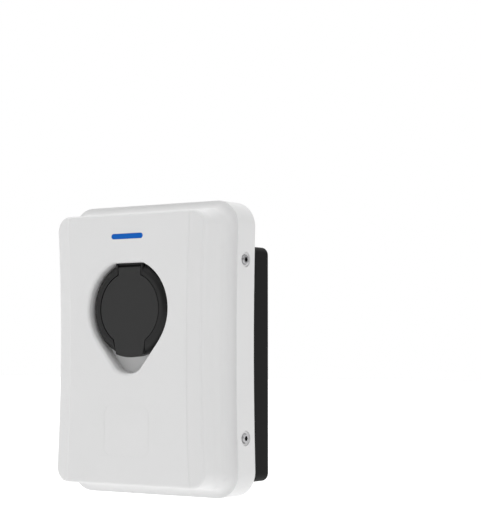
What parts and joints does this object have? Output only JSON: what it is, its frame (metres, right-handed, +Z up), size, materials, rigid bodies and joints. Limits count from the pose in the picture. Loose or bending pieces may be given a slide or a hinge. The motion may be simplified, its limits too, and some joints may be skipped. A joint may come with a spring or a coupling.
{
  "type": "ev wallbox",
  "caption": "Wall-mounted vehicle charging box with a waisted cover, a hinged round lid over a keyed outlet and a cable gland below.",
  "frame": {"origin": "middle of the wall screw pattern, on the wall plane at the box's back", "axes": "+X to the right as one faces the box, +Z up, +Y into the wall"},
  "size_m": [0.2074, 0.112, 0.2908],
  "materials": {
    "cover": "satin off-white moulding",
    "box": "fine matt black moulding",
    "rubber": "soft black rubber",
    "screw": "bright stainless steel",
    "brass": "turned brass",
    "light": "clear blue light guide",
    "board": "green circuit board",
    "outlet": "satin dark grey moulding",
    "lid": "satin dark grey moulding",
    "contact": "silver-plated contact",
    "inner_plastic": "black moulding",
    "relay": "black relay case",
    "terminal": "grey terminal block",
    "capacitor": "aluminium can",
    "gland": "black nylon"
  },
  "bodies": {
    "enclosure": {"front_cover": "cover", "back_box": "box", "cover_gasket": "rubber", "cover_screws": "screw", "screw_inserts": "brass", "wall_seals": "rubber", "light_guide": "light", "light_board": "board", "reader_board": "board", "front_board_screws": "screw", "socket_bezel": "outlet", "socket_shell": "outlet", "socket_core": "outlet", "core_plate": "outlet", "power_contacts": "contact", "signal_contacts": "contact", "socket_rear_cap": "outlet", "socket_screws": "screw", "hinge_pin": "screw", "lock_housing": "inner_plastic", "main_board": "board", "board_screws": "screw", "relay_1": "relay", "relay_2": "relay", "relay_3": "relay", "relay_4": "relay", "current_sensor": "inner_plastic", "supply_terminals": "terminal", "power_supply": "inner_plastic", "capacitor_1": "capacitor", "capacitor_2": "capacitor", "gland_body": "gland", "gland_lock_nut": "gland", "gland_nut": "gland", "gland_seal": "rubber"},
    "lid_flap": {"lid": "lid", "lid_seal": "rubber", "lid_spring": "screw"},
    "bolt": {"lock_bolt": "screw"}
  },
  "joints": [
    {"name": "lid_hinge", "type": "hinge", "parent": "enclosure", "child": "lid_flap", "pos_m": [0, -0.10525, 0.0938], "axis": [-1, 0, 0], "range_deg": [0, 105], "stiffness_Nm_per_rad": 0.012, "springref_deg": -57.3},
    {"name": "lock_slide", "type": "slide", "parent": "enclosure", "child": "bolt", "axis": [0, 0, -1], "range_m": [0, 0.006]}
  ]
}
